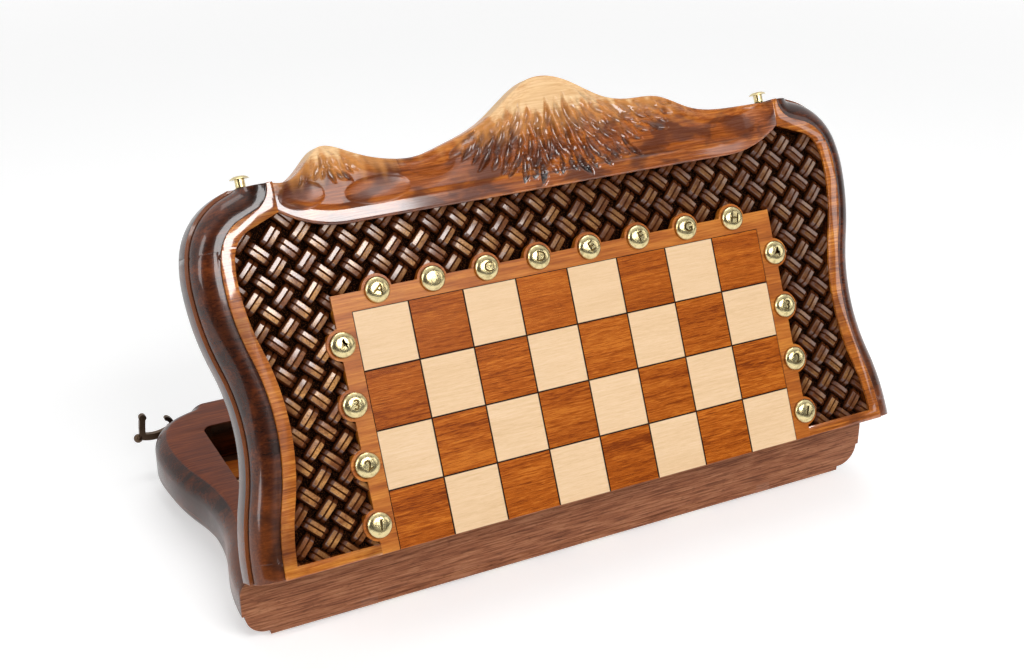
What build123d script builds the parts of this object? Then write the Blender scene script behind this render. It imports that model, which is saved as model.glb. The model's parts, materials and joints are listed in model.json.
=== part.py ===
from build123d import *
import os
from math import cos, radians, sin, tan

# A folding chess box, shown part open: two mirror halves hinged along one long edge. The base lies
# on its chess face, hollow up, and the lid leans back on the hinge. Each half is modelled lying on
# its chess face (x along the fold, y away from it, z = depth below the face) and then placed.
# Millimetres. The origin is the middle of the footprint, on the table.

os.makedirs("parts", exist_ok=True)

# ---- driving dimensions ---------------------------------------------------------------------------
square = 38.0              # side of one chess square; every face dimension follows from it
half_thickness = 46.4      # chess face to parting plane
open_angle = 64.5          # lid opening shown, measured from closed
running_gap = 0.2          # each half stops this far short of the hinge planes
spare = 1.0                # cutting blocks run this far past what they cut

half_depth = 6.3 * square  # fold edge to latch wall
face_end = 5.965 * square  # half width of the face at the fold
waist = 5.61 * square      # half width of the face at its narrowest
waist_at = 2.4 * square
widest = 5.975 * square    # half width of the face at the shoulder
widest_at = 4.85 * square
shoulder_easy_radius = 1.8 * square
shoulder_easy_turn = 14
shoulder_radius = 0.75 * square
shoulder_turn = 70
neck = 4.97 * square       # half width of the face at the latch wall
neck_radius = 0.42 * square
neck_least = 1.2           # the outermost line of the moulding turns this tightly at the neck

quirk_depth = 3.0          # moulding, from the face down: small step
ovolo_offset = 16.2        # outer edge of the quarter round
ovolo_radius = 15.0
ovolo_bottom = 18.5
flat_offset = 18.2         # outer edge of the flat band below it
rim_radius = 12.5          # round-over at the parting edge
overrun = 30.0             # the moulding is made longer than the half, then cut square

border = 8.2               # honey border between the moulding and the carved field
field_front = 7.2
field_rear = 5.42 * square
field_corner_x = 4.87 * square
field_corner_y = 5.80 * square
field_flat_x = 3.7 * square
board_thickness = 7.0      # squares and their frame, above the panel
panel_bottom = 14.0

weave_crown = 1.6          # top of the woven strands, below the face
weave_floor = board_thickness
weave_step = 0.25 * square # crossings lie on a lattice turned 45 degrees, this far apart along x and y
weave_shift = 0.05 * square
strand_width = 7.4
strand_foot = 18.4         # length of one strand where it dips to the floor
strand_top = 12.0
least_strand = 0.3         # share of a strand below which the border swallows it

tray_half_length = 5.45 * square
tray_front = 12.0
tray_rear = 5.35 * square
tray_corner = 0.2 * square
lining_bottom = 17.0
point_thickness = 1.0
point_share = 0.78         # length of a point over half the tray
point_gap = 1.0
point_end_gap = 2.0

frame_width = 0.31 * square
frame_stop = 4.0 * square
boss_radius = 0.27 * square
square_groove = 0.4

stud_radius = 0.225 * square
stud_height = 4.6
stud_land = 2.6            # radius of the flat engraved crown
stud_rim = 1.0
stud_nail = 1.2
stud_inset = 1.4           # stud centres sit this far inside the band's outer edge
stud_nail_length = 6.0

crest_thickness = 24.0
crest_top_radius = 9.0
crest_foot_radius = 4.0

tenon_length = 12.0        # latch studs and pivot screws go this far into the rail
latch_x = 196.0
latch_above_parting = 14.0
latch_tenon = 2.0
latch_collar = 4.5
latch_collar_rim = 1.2
latch_collar_top = 2.2
latch_shank = 3.2
latch_head = 6.5
latch_reach = 9.2
latch_brim = 2.0
latch_crown_drop = 0.5
latch_land = 1.2           # radius of the small flat on the crown
pivot_x = 199.5
pivot_below_parting = 18.0
hook_thickness = 3.5
hook_stand_off = 3.2
pivot_radius = 2.0
pivot_clearance = 0.05
hook_play = 0.1
pan_height = 1.9
pan_radius = 4.2
pan_round = 1.2
plate_radius = 7.2
plate_thickness = 1.3
seat_radius = 3.6

eye_radius = 5.0           # hook, from its eye outward (u) and up (v)
shoulder_width = 6.4
arm_width = 5.2
horn_width = 3.4
lever_width = 4.4
shoulder_end = (21, 0.4)
arm_end = (43, -1.4)
horn_tip = (23.6, 9.6)
lever_tip = (41.6, 14.5)
pad_radius = 2.8
knob_radius = 3.4
knob_at = (46.3, -2.4)

hinge_x = 130.0
leaf_length = 50.0
leaf_width = 11.0
leaf_thickness = 1.5
knuckle_radius = 2.6
knuckle_relief = 3.0
knuckle_split = 9.0
knuckle_gap = 0.4
pin_radius = 1.2
pin_clearance = 0.05
screw_head = 2.4
screw_shank = 1.1
screw_sink = 1.3           # depth of the countersink
screw_tip = 1.2
screw_length = 9.0
screw_pitch = 17.0
screw_y = 7.0

# ---- where the halves stand -----------------------------------------------------------------------
parting = stud_height + half_thickness
front_reach = half_thickness * sin(radians(open_angle))
rear_reach = half_depth + hook_stand_off + hook_thickness + hook_play + pan_height
fold_y = (front_reach - rear_reach) / 2
outward = Vector(0, -sin(radians(open_angle)), cos(radians(open_angle)))
hinge_point = Vector(0, fold_y, parting)
base_plane = Plane(origin=(0, fold_y, stud_height), x_dir=(1, 0, 0), z_dir=(0, 0, 1))
lid_plane = Plane(origin=hinge_point + outward * half_thickness, x_dir=(-1, 0, 0), z_dir=outward * -1)
halves = {"base": base_plane, "lid": lid_plane}


def finish(part, name, half):
    placed = halves[half].from_local_coords(part)
    placed.label = name
    export_step(placed, f"parts/{name}.step")
    return placed


# ---- plan outlines --------------------------------------------------------------------------------
def side_curve(offset):
    """Right-hand side of the plan from the fold to the shoulder, all radii shifted by offset."""
    start = (face_end + offset, -overrun)
    fold = (face_end + offset, 0)
    swing_in = sway(face_end - waist, waist_at)
    swing_out = sway(widest - waist, widest_at - waist_at)
    a = Line(start, fold)
    b = JernArc(start=fold, tangent=(0, 1), radius=swing_in[0] + offset, arc_size=swing_in[1])
    c = JernArc(start=b @ 1, tangent=b % 1, radius=swing_in[0] - offset, arc_size=-swing_in[1])
    d = JernArc(start=c @ 1, tangent=c % 1, radius=swing_out[0] - offset, arc_size=-swing_out[1])
    e = JernArc(start=d @ 1, tangent=d % 1, radius=swing_out[0] + offset, arc_size=swing_out[1])
    f = JernArc(
        start=e @ 1, tangent=e % 1, radius=shoulder_easy_radius + offset, arc_size=shoulder_easy_turn
    )
    g = JernArc(
        start=f @ 1,
        tangent=f % 1,
        radius=shoulder_radius + offset,
        arc_size=shoulder_turn - shoulder_easy_turn,
    )
    return [a, b, c, d, e, f, g]


def sway(across, along):
    """Radius and turn of each of the two equal arcs that make an S-shaped sway."""
    half_turn = 2 * atan_deg(across / along)
    return along / 2 / sin(radians(half_turn)), half_turn


def atan_deg(slope):
    return Vector(1, slope).get_angle(Vector(1, 0))


def body_outline(offset):
    """Closed plan of the half at one level of the moulding, running past both ends."""
    with BuildSketch() as plan:
        with BuildLine():
            side_end = side_curve(offset)[-1] @ 1
            inner_radius = max(neck_radius - offset, neck_least)
            slope = radians(shoulder_turn)
            run = (side_end.X - neck - offset) / sin(slope)
            corner = Vector(neck + offset, side_end.Y + run * cos(slope))
            setback = inner_radius * tan(slope / 2)
            before = corner + Vector(sin(slope), -cos(slope)) * setback
            after = corner + Vector(0, setback)
            Line(side_end, before)
            TangentArc(before, after, tangent=(-sin(slope), cos(slope)))
            top = (neck + offset, half_depth + overrun)
            Line(after, top)
            Line(top, (0, half_depth + overrun))
            Line((0, half_depth + overrun), (0, -overrun))
            Line((0, -overrun), (face_end + offset, -overrun))
        make_face()
        mirror(about=Plane.YZ)
    return plan.sketch


def field_outline():
    """The sunk field inside the border, with its horned corners at the crest rail."""
    with BuildSketch() as plan:
        with BuildLine():
            side = side_curve(-border)
            horn = (field_corner_x, field_corner_y)
            Line(side[-1] @ 1, horn)
            sag = field_corner_y - field_rear
            span = field_corner_x - field_flat_x
            swell = (span * span + sag * sag) / (2 * sag)
            turn = 2 * atan_deg(sag / span)
            JernArc(start=(field_flat_x, field_rear), tangent=(1, 0), radius=swell, arc_size=turn)
            Line((field_flat_x, field_rear), (0, field_rear))
            Line((0, field_rear), (0, -overrun))
            Line((0, -overrun), side[0] @ 0)
        make_face()
        with Locations((0, (field_front - overrun) / 2)):
            Rectangle(2 * widest, field_front + overrun, mode=Mode.SUBTRACT)
        mirror(about=Plane.YZ)
    return plan.sketch


def field_block(top, bottom):
    with BuildPart() as block:
        with BuildSketch(Plane.XY.offset(top)):
            add(field_outline())
        extrude(amount=bottom - top)
    return block.part


def box_between(low, high):
    size = [b - a for a, b in zip(low, high)]
    middle = [(a + b) / 2 for a, b in zip(low, high)]
    with BuildPart(Plane(origin=middle)) as block:
        Box(*size)
    return block.part


def moulded_edges(edges):
    """The edges that the moulding runs along, without the square cuts at both ends."""
    return [e for e in edges if e.geom_type != GeomType.LINE or abs(e.tangent_at(0.5).Y) > 0.1]


def moulded_block():
    """The whole moulded half, uncut: step, quarter round, flat band and rounded rim."""
    with BuildPart() as block:
        with BuildSketch(Plane.XY.offset(quirk_depth)):
            add(body_outline(ovolo_offset))
        extrude(amount=ovolo_bottom - quirk_depth)
        fillet(moulded_edges(block.edges().group_by(Axis.Z)[0]), ovolo_radius)
        with BuildSketch(Plane.XY.offset(ovolo_bottom)):
            add(body_outline(flat_offset))
        extrude(amount=half_thickness - running_gap - ovolo_bottom)
        fillet(moulded_edges(block.edges().group_by(Axis.Z)[-1]), rim_radius)
        with BuildSketch():
            add(body_outline(0))
        extrude(amount=quirk_depth)
    return block.part


def cylinder_along(direction, start, radius, length):
    with BuildPart(Plane(origin=start, z_dir=direction)) as rod:
        Cylinder(radius, length, align=(Align.CENTER, Align.CENTER, Align.MIN))
    return rod.part


# ---- one half ------------------------------------------------------------------------------------
moulded = moulded_block()
field = field_block(-spare, panel_bottom)
with BuildPart() as tray_room:
    with BuildSketch(Plane.XY.offset(panel_bottom)):
        with Locations((0, (tray_front + tray_rear) / 2)):
            RectangleRounded(2 * tray_half_length, tray_rear - tray_front, tray_corner)
    extrude(amount=half_thickness)
frame_half = frame_stop + frame_width
board_room = box_between((-frame_half, -spare, -spare), (frame_half, frame_half, board_thickness))
wide = widest + flat_offset + spare


def frame_piece(low_x, high_x, low_y, high_y):
    """Part of the moulded half between two pairs of square cuts, hollowed for field and tray."""
    with BuildPart() as piece:
        add(moulded)
        add(box_between((low_x, low_y, -spare), (high_x, high_y, half_thickness)), mode=Mode.INTERSECT)
        add([field, tray_room.part, board_room], mode=Mode.SUBTRACT)
    return piece.part


def side_wall(sign):
    inner, outer = sorted((sign * 0.5 * tray_half_length, sign * wide))
    return frame_piece(inner, outer, tray_front, tray_rear)


def spine_rail():
    """Flat board across the fold, its ends cut to the moulding, let in for the hinge leaves."""
    with BuildPart() as rail:
        add(frame_piece(-wide, wide, running_gap, tray_front))
        add(hinge_mortise(), mode=Mode.SUBTRACT)
        add(screw_set(), mode=Mode.SUBTRACT)
    return rail.part


def latch_rail(half):
    """Deep rail opposite the fold. The lid's is rebated for its crest and bored for its studs."""
    with BuildPart() as rail:
        add(frame_piece(-wide, wide, tray_rear, half_depth))
        if half == "lid":
            add(crest_seat(), mode=Mode.SUBTRACT)
            add(latch_studs(), mode=Mode.SUBTRACT)
        else:
            add(pivot_screws(), mode=Mode.SUBTRACT)
    return rail.part


def band_outline():
    """Outline of the chess board's band, with the round boss that swells it under each stud."""
    with BuildSketch() as outline:
        with Locations((0, (running_gap + frame_half) / 2)):
            Rectangle(2 * frame_half, frame_half - running_gap)
        with Locations(*stud_places()):
            Circle(boss_radius)
    return outline.sketch


def weave_crossings():
    """Where a strand passes over, and which way it runs there: every other crossing is turned."""
    places = []
    under_board = frame_half - strand_foot / 2
    for column in range(-25, 26):
        for row in range(25):
            x = weave_shift - column * weave_step
            y = row * weave_step - weave_shift
            if (column + row) % 2 == 0 and max(abs(x), y) > under_board:
                places.append(Location((x, y, 0), (0, 0, 45 if column % 2 else -45)))
    return places


def woven_strands():
    """Short flat-topped strands, one over each crossing, whose ends slope under their neighbours."""
    with BuildPart() as strands:
        with BuildSketch(Plane.XZ):
            with BuildLine():
                Polyline(
                    (-strand_foot / 2, weave_floor),
                    (-strand_top / 2, weave_crown),
                    (strand_top / 2, weave_crown),
                    (strand_foot / 2, weave_floor),
                    close=True,
                )
            make_face()
        one = extrude(amount=strand_width / 2, both=True, mode=Mode.PRIVATE)
        with Locations(*weave_crossings()):
            add(one)
        add(field_block(0, weave_floor), mode=Mode.INTERSECT)
        with BuildSketch():
            add(band_outline())
        extrude(amount=board_thickness, mode=Mode.SUBTRACT)
    return [strand for strand in strands.solids() if strand.volume > least_strand * one.volume]


def carved_panel():
    """Panel that fills the field and carries the chess board. Its face is carved as a plain weave."""
    with BuildPart() as panel:
        add(field_block(weave_floor, panel_bottom))
        add(woven_strands())
    return panel.part


def chess_frame():
    """Band on three sides of the squares, with a round boss under each stud."""
    with BuildPart() as band:
        with BuildSketch():
            add(band_outline())
            with Locations((0, frame_stop / 2)):
                Rectangle(2 * frame_stop, frame_stop, mode=Mode.SUBTRACT)
        extrude(amount=board_thickness)
        add(stud_set(), mode=Mode.SUBTRACT)
    return band.part


def stud_places():
    """Eight studs above the columns and four down each side, all on the band's outer edge."""
    top = [((i - 3.5) * square, frame_half - stud_inset) for i in range(8)]
    left = [(stud_inset - frame_half, (i + 0.5) * square) for i in range(4)]
    right = [(frame_half - stud_inset, (i + 0.5) * square) for i in range(4)]
    return top + left + right


def stud_set():
    """Domed brass upholstery studs, each with its nail."""
    with BuildPart() as studs:
        with BuildSketch(Plane.XZ) as profile:
            with BuildLine():
                Line((0, stud_nail_length), (stud_nail, stud_nail_length))
                Line((stud_nail, stud_nail_length), (stud_nail, 0))
                Line((stud_nail, 0), (stud_radius, 0))
                Line((stud_radius, 0), (stud_radius, -stud_rim))
                ThreePointArc(
                    (stud_radius, -stud_rim),
                    (0.72 * stud_radius, -0.72 * stud_height),
                    (stud_land, -stud_height),
                )
                Line((stud_land, -stud_height), (0, -stud_height))
                Line((0, -stud_height), (0, stud_nail_length))
            make_face()
        one = revolve(axis=Axis.Z, mode=Mode.PRIVATE)
        with Locations(*[(x, y, 0) for x, y in stud_places()]):
            add(one)
    return studs.part


def tiles(colour):
    """Sixteen squares of one colour. The far corner square on the viewer's left is light."""
    with BuildPart() as group:
        with BuildPart(mode=Mode.PRIVATE) as tile:
            Box(square, square, board_thickness, align=(Align.CENTER, Align.CENTER, Align.MIN))
            chamfer(tile.edges().group_by(Axis.Z)[0], square_groove)
        places = []
        for column in range(8):
            for row in range(4):
                light = (column + row) % 2 == 0
                if light == (colour == "light"):
                    places.append(((3.5 - column) * square, (3.5 - row) * square, 0))
        with Locations(*places):
            add(tile.part)
        with BuildPart(mode=Mode.PRIVATE) as fold_trim:
            add(box_between((-frame_half, running_gap, -spare), (frame_half, frame_half, board_thickness)))
        add(fold_trim.part, mode=Mode.INTERSECT)
    return group.part


def tray_lining():
    """Thin playing floor of the backgammon tray."""
    with BuildPart() as lining:
        with BuildSketch(Plane.XY.offset(panel_bottom)):
            with Locations((0, (tray_front + tray_rear) / 2)):
                RectangleRounded(2 * tray_half_length, tray_rear - tray_front, tray_corner)
        extrude(amount=lining_bottom - panel_bottom)
    return lining.part


def backgammon_points(colour):
    """Six veneer points of one colour, three from each end of the tray, alternating."""
    width = (tray_rear - tray_front - 2 * tray_corner) / 6
    length = point_share * tray_half_length
    with BuildPart() as group:
        with BuildSketch(Plane.XY.offset(lining_bottom)):
            for index in range(6):
                for sign in (-1, 1):
                    if (index + (sign > 0)) % 2 == (colour == "dark"):
                        low = tray_front + tray_corner + index * width
                        end = sign * (tray_half_length - point_end_gap)
                        with BuildLine():
                            Polyline(
                                (end, low + point_gap),
                                (end, low + width - point_gap),
                                (end - sign * length, low + width / 2),
                                close=True,
                            )
                        make_face()
        extrude(amount=point_thickness)
    return group.part


# ---- the lid's crest -----------------------------------------------------------------------------
def crest_outline():
    """Twin-peaked skyline over the crest rail, seen from the lid's face (x runs the other way)."""
    skyline = [
        (4.87, 6.28),
        (4.25, 6.50),
        (3.9, 6.76),
        (3.4, 6.61),
        (2.8, 6.40),
        (2.3, 6.35),
        (1.7, 6.48),
        (0.9, 6.76),
        (0.3, 7.15),
        (-0.2, 7.38),
        (-0.75, 7.29),
        (-1.5, 6.87),
        (-2.0, 6.76),
        (-2.6, 6.72),
        (-3.2, 6.44),
        (-4.0, 6.30),
        (-4.87, 6.27),
    ]
    with BuildSketch() as outline:
        with BuildLine():
            ridge = Spline(*[(x * square, y * square) for x, y in skyline])
            Line(ridge @ 1, (-field_corner_x, field_corner_y))
            low = Polyline(
                (-field_corner_x, field_corner_y),
                (-field_corner_x, field_rear - spare),
                (field_corner_x, field_rear - spare),
                (field_corner_x, field_corner_y),
            )
            Line(low @ 1, ridge @ 0)
        make_face()
        add(field_outline(), mode=Mode.SUBTRACT)
    return outline.sketch


def crest_seat():
    """Rebate in the lid's latch rail that the crest board is glued into."""
    with BuildPart() as seat:
        low = (-field_corner_x, field_rear - spare, -spare)
        add(box_between(low, (field_corner_x, half_depth + spare, crest_thickness)))
    return seat.part


def crest():
    """Carved mountain board: one small and one tall peak, its crest and foot well rounded."""
    with BuildPart() as board:
        with BuildSketch():
            add(crest_outline())
        extrude(amount=crest_thickness)
        face_edges = board.edges().group_by(Axis.Z)[0]
        fillet(face_edges.sort_by(Edge.length)[-1], crest_top_radius)
        face_edges = board.edges().group_by(Axis.Z)[0]
        foot = [e for e in face_edges if e.center().Y < field_corner_y and abs(e.center().X) < field_corner_x - 1]
        fillet(foot, crest_foot_radius)
    return board.part


# ---- latches and hinges --------------------------------------------------------------------------
def latch_studs():
    """Turned mushroom studs on the lid's latch wall: collar, shank, domed head and tenon."""
    depth = half_thickness - latch_above_parting
    with BuildPart() as studs:
        for sign in (-1, 1):
            foot = (sign * latch_x, half_depth, depth)
            with BuildSketch(Plane(origin=foot, x_dir=(1, 0, 0), z_dir=(0, 0, 1))):
                with BuildLine():
                    under = latch_reach - latch_brim
                    Polyline(
                        (0, -tenon_length),
                        (latch_tenon, -tenon_length),
                        (latch_tenon, 0),
                        (latch_collar, 0),
                        (latch_collar, latch_collar_rim),
                        (latch_shank, latch_collar_top),
                        (latch_shank, under),
                        (latch_head, under),
                    )
                    ThreePointArc(
                        (latch_head, under),
                        (0.7 * latch_head, latch_reach - latch_crown_drop),
                        (latch_land, latch_reach),
                    )
                    Polyline((latch_land, latch_reach), (0, latch_reach), (0, -tenon_length))
                make_face()
            revolve(axis=Axis(foot, (0, 1, 0)))
    return studs.part


def pivot_depth():
    return half_thickness - pivot_below_parting


def hook(sign):
    """Cast hook lying outward: eye, catching horn, thumb lever and end knob, flat on the back."""
    plane = Plane(
        origin=(sign * pivot_x, half_depth + hook_stand_off, pivot_depth()),
        x_dir=(sign, 0, 0),
        z_dir=(0, 1, 0) if sign < 0 else (0, -1, 0),
    )
    thickness = hook_thickness if sign < 0 else -hook_thickness
    with BuildPart(plane) as cast:
        with BuildSketch(plane):
            Circle(eye_radius)
            with BuildLine(mode=Mode.PRIVATE) as arm:
                ThreePointArc((0, 0), (11, 1.6), shoulder_end)
            SlotArc(arm.edge(), shoulder_width)
            with BuildLine(mode=Mode.PRIVATE) as sag:
                ThreePointArc(shoulder_end, (31, -2.8), arm_end)
            SlotArc(sag.edge(), arm_width)
            with BuildLine(mode=Mode.PRIVATE) as horn:
                ThreePointArc((20, 1.5), (20.4, 6.4), horn_tip)
            SlotArc(horn.edge(), horn_width)
            with BuildLine(mode=Mode.PRIVATE) as lever:
                ThreePointArc(arm_end, (42.6, 7), lever_tip)
            SlotArc(lever.edge(), lever_width)
            with Locations(lever_tip):
                Circle(pad_radius)
            Circle(pivot_radius + pivot_clearance, mode=Mode.SUBTRACT)
        extrude(amount=thickness)
        with Locations((*knob_at, thickness / 2)):
            Sphere(knob_radius)
    return cast.part


def pivot_screws():
    """Pan-headed screws that each hook turns on, driven into the latch rail."""
    with BuildPart() as screws:
        for sign in (-1, 1):
            start = (sign * pivot_x, half_depth - tenon_length, pivot_depth())
            reach = tenon_length + hook_stand_off + hook_thickness + hook_play
            add(cylinder_along((0, 1, 0), start, pivot_radius, reach))
            head = (sign * pivot_x, half_depth - tenon_length + reach, pivot_depth())
            with BuildPart(Plane(origin=head, z_dir=(0, 1, 0)), mode=Mode.PRIVATE) as pan:
                Cylinder(pan_radius, pan_height, align=(Align.CENTER, Align.CENTER, Align.MIN))
                fillet(pan.edges().sort_by(Axis.Y)[-1], pan_round)
            add(pan.part)
    return screws.part


def hook_plates():
    """Round brass plates with a raised seat that keeps each hook off the wood."""
    with BuildPart() as plates:
        for sign in (-1, 1):
            start = (sign * pivot_x, half_depth, pivot_depth())
            add(cylinder_along((0, 1, 0), start, plate_radius, plate_thickness))
            add(cylinder_along((0, 1, 0), start, seat_radius, hook_stand_off - hook_play))
            add(cylinder_along((0, 1, 0), start, pivot_radius, hook_stand_off), mode=Mode.SUBTRACT)
    return plates.part


def along_fold(middle, radius, length):
    return cylinder_along((1, 0, 0), (middle - length / 2, 0, half_thickness), radius, length)


def hinge_mortise():
    rim = half_thickness - running_gap
    with BuildPart() as mortise:
        for x in (-hinge_x, hinge_x):
            low = (x - leaf_length / 2, -spare, rim - leaf_thickness)
            add(box_between(low, (x + leaf_length / 2, leaf_width, rim + spare)))
            add(along_fold(x, knuckle_relief, leaf_length))
    return mortise.part


def screw_set():
    """Countersunk brass screws, three to a leaf."""
    rim = half_thickness - running_gap
    with BuildPart() as screws:
        for x in (-hinge_x, hinge_x):
            for step in (-1, 0, 1):
                with BuildSketch(Plane.XZ.offset(-screw_y)):
                    with BuildLine():
                        middle = x + step * screw_pitch
                        Polyline(
                            (middle, rim),
                            (middle + screw_head, rim),
                            (middle + screw_shank, rim - screw_sink),
                            (middle + screw_shank, rim - screw_length),
                            (middle, rim - screw_length - screw_tip),
                            close=True,
                        )
                    make_face()
                revolve(axis=Axis((middle, screw_y, 0), (0, 0, 1)))
    return screws.part


def hinge_leaves(half):
    """Two butt leaves. The base's carry the outer knuckles, the lid's the middle one."""
    rim = half_thickness - running_gap
    with BuildPart() as leaves:
        for x in (-hinge_x, hinge_x):
            low = (x - leaf_length / 2, 0, rim - leaf_thickness)
            add(box_between(low, (x + leaf_length / 2, leaf_width, rim)))
            add(along_fold(x, knuckle_relief, leaf_length), mode=Mode.SUBTRACT)
            if half == "base":
                for side in (-1, 1):
                    middle = x + side * (knuckle_split + leaf_length / 2) / 2
                    add(knuckle(middle, leaf_length / 2 - knuckle_split, rim))
                add(along_fold(x, pin_radius, leaf_length), mode=Mode.SUBTRACT)
            else:
                add(knuckle(x, 2 * knuckle_split - knuckle_gap, rim))
                add(along_fold(x, pin_radius + pin_clearance, leaf_length), mode=Mode.SUBTRACT)
        add(screw_set(), mode=Mode.SUBTRACT)
    return leaves.part


def knuckle(middle, length, rim):
    """A rolled eye with the short root that joins it to its leaf."""
    with BuildPart() as eye:
        add(along_fold(middle, knuckle_radius, length))
        low = (middle - length / 2, 0.5 * knuckle_radius, rim - leaf_thickness)
        add(box_between(low, (middle + length / 2, knuckle_relief + knuckle_gap, rim)))
    return eye.part


def hinge_pins():
    with BuildPart() as pins:
        for x in (-hinge_x, hinge_x):
            add(along_fold(x, pin_radius, leaf_length))
    return pins.part


# ---- the assembly --------------------------------------------------------------------------------
panel = carved_panel()
for half in halves:
    left = 1 if half == "lid" else -1
    finish(side_wall(left), f"{half}_left_side", half)
    finish(side_wall(-left), f"{half}_right_side", half)
    finish(spine_rail(), f"{half}_spine_rail", half)
    finish(latch_rail(half), f"{half}_latch_rail", half)
    finish(panel, f"{half}_carved_panel", half)
    finish(chess_frame(), f"{half}_chess_frame", half)
    finish(tiles("light"), f"{half}_light_squares", half)
    finish(tiles("dark"), f"{half}_dark_squares", half)
    finish(stud_set(), f"{half}_studs", half)
    finish(tray_lining(), f"{half}_tray_lining", half)
    finish(backgammon_points("light"), f"{half}_light_points", half)
    finish(backgammon_points("dark"), f"{half}_dark_points", half)
    finish(hinge_leaves(half), f"{half}_hinge_leaves", half)
    finish(screw_set(), f"{half}_hinge_screws", half)
finish(hinge_pins(), "hinge_pins", "base")
finish(crest(), "lid_crest", "lid")
finish(latch_studs(), "latch_studs", "lid")
finish(hook(-1), "hook_left", "base")
finish(hook(1), "hook_right", "base")
finish(pivot_screws(), "hook_screws", "base")
finish(hook_plates(), "hook_plates", "base")
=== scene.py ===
# %% [markdown]
# # A folding chess box, dressed
# The box is two mirror halves hinged along the fold. The frame brings every piece at its real size;
# this script gives each one its finish, and carves what a carver would: the woven field, the crest
# and the engraved studs.

# %% The frame
import json
import math
import random

import bmesh
import bpy
import numpy as np
from mathutils import Matrix, Vector


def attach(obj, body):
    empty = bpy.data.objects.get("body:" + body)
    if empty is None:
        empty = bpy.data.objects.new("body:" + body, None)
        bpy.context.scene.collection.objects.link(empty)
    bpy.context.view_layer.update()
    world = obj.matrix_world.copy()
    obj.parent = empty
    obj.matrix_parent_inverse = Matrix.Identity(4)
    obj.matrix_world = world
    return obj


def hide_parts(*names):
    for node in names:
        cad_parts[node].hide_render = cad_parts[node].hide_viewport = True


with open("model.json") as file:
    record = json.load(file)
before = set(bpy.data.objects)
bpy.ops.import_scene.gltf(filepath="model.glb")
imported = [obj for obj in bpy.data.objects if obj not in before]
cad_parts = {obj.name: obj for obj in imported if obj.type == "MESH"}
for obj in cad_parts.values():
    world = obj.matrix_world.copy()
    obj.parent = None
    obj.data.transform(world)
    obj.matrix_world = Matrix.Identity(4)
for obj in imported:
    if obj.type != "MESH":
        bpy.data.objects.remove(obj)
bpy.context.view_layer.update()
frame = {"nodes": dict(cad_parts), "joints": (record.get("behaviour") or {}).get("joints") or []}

nodes = frame["nodes"]
print("frame holds", len(nodes), "nodes")

# %% [markdown]
# Every size on the face of the box follows from one chess square, so the square is the first value.
# The hinge pins give the place of the fold and the joint's lower limit gives the angle that the lid
# stands open. Lengths are in millimetres until a finished piece is placed.

# %% Sizes and the two working planes
MM = 0.001
SQUARE = 38.0
HALF_THICKNESS = 46.4
hinge = next(j for j in frame["joints"] if j["name"] == "lid_hinge")
OPEN_ANGLE = math.radians(-hinge["range_deg"][0])
fold = Vector(hinge["pos_m"]) / MM
STUD_HEIGHT = fold.z - HALF_THICKNESS

lean = Matrix.Rotation(OPEN_ANGLE, 3, "X")
turn_over = Matrix.Rotation(math.pi, 3, "Y")
face_turn = {"lid": lean, "base": turn_over}
face_middle = {
    "lid": fold + lean @ Vector((0, 0, HALF_THICKNESS)),
    "base": Vector((fold.x, fold.y, STUD_HEIGHT)),
}


def face_matrix(half):
    """From a half's own millimetres (x along the fold, y away from it, z out of the face) to metres."""
    return Matrix.Translation(face_middle[half] * MM) @ face_turn[half].to_4x4() @ Matrix.Scale(MM, 4)


print("lid open", round(math.degrees(OPEN_ANGLE), 1), "degrees; fold at", [round(v, 1) for v in fold])

# %% [markdown]
# Shader maths reads best as ordinary sums. This small class wraps a socket, so that `1 - mask` or
# `grain * 0.2 + knots` adds the Math nodes by itself, and one method makes every other node.


# %% Sums of sockets, and a finish that makes its own nodes
class Wire:
    """A node's output that can stand in a sum."""

    def __init__(self, finish, socket):
        self.finish = finish
        self.socket = socket

    def math(self, operation, first, second=0.0):
        return self.finish.node("ShaderNodeMath", {"operation": operation}, {0: first, 1: second})

    def __add__(self, other):
        return self.math("ADD", self, other)

    def __sub__(self, other):
        return self.math("SUBTRACT", self, other)

    def __mul__(self, other):
        return self.math("MULTIPLY", self, other)

    def __rsub__(self, other):
        return self.math("SUBTRACT", other, self)

    __radd__ = __add__
    __rmul__ = __mul__


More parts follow.
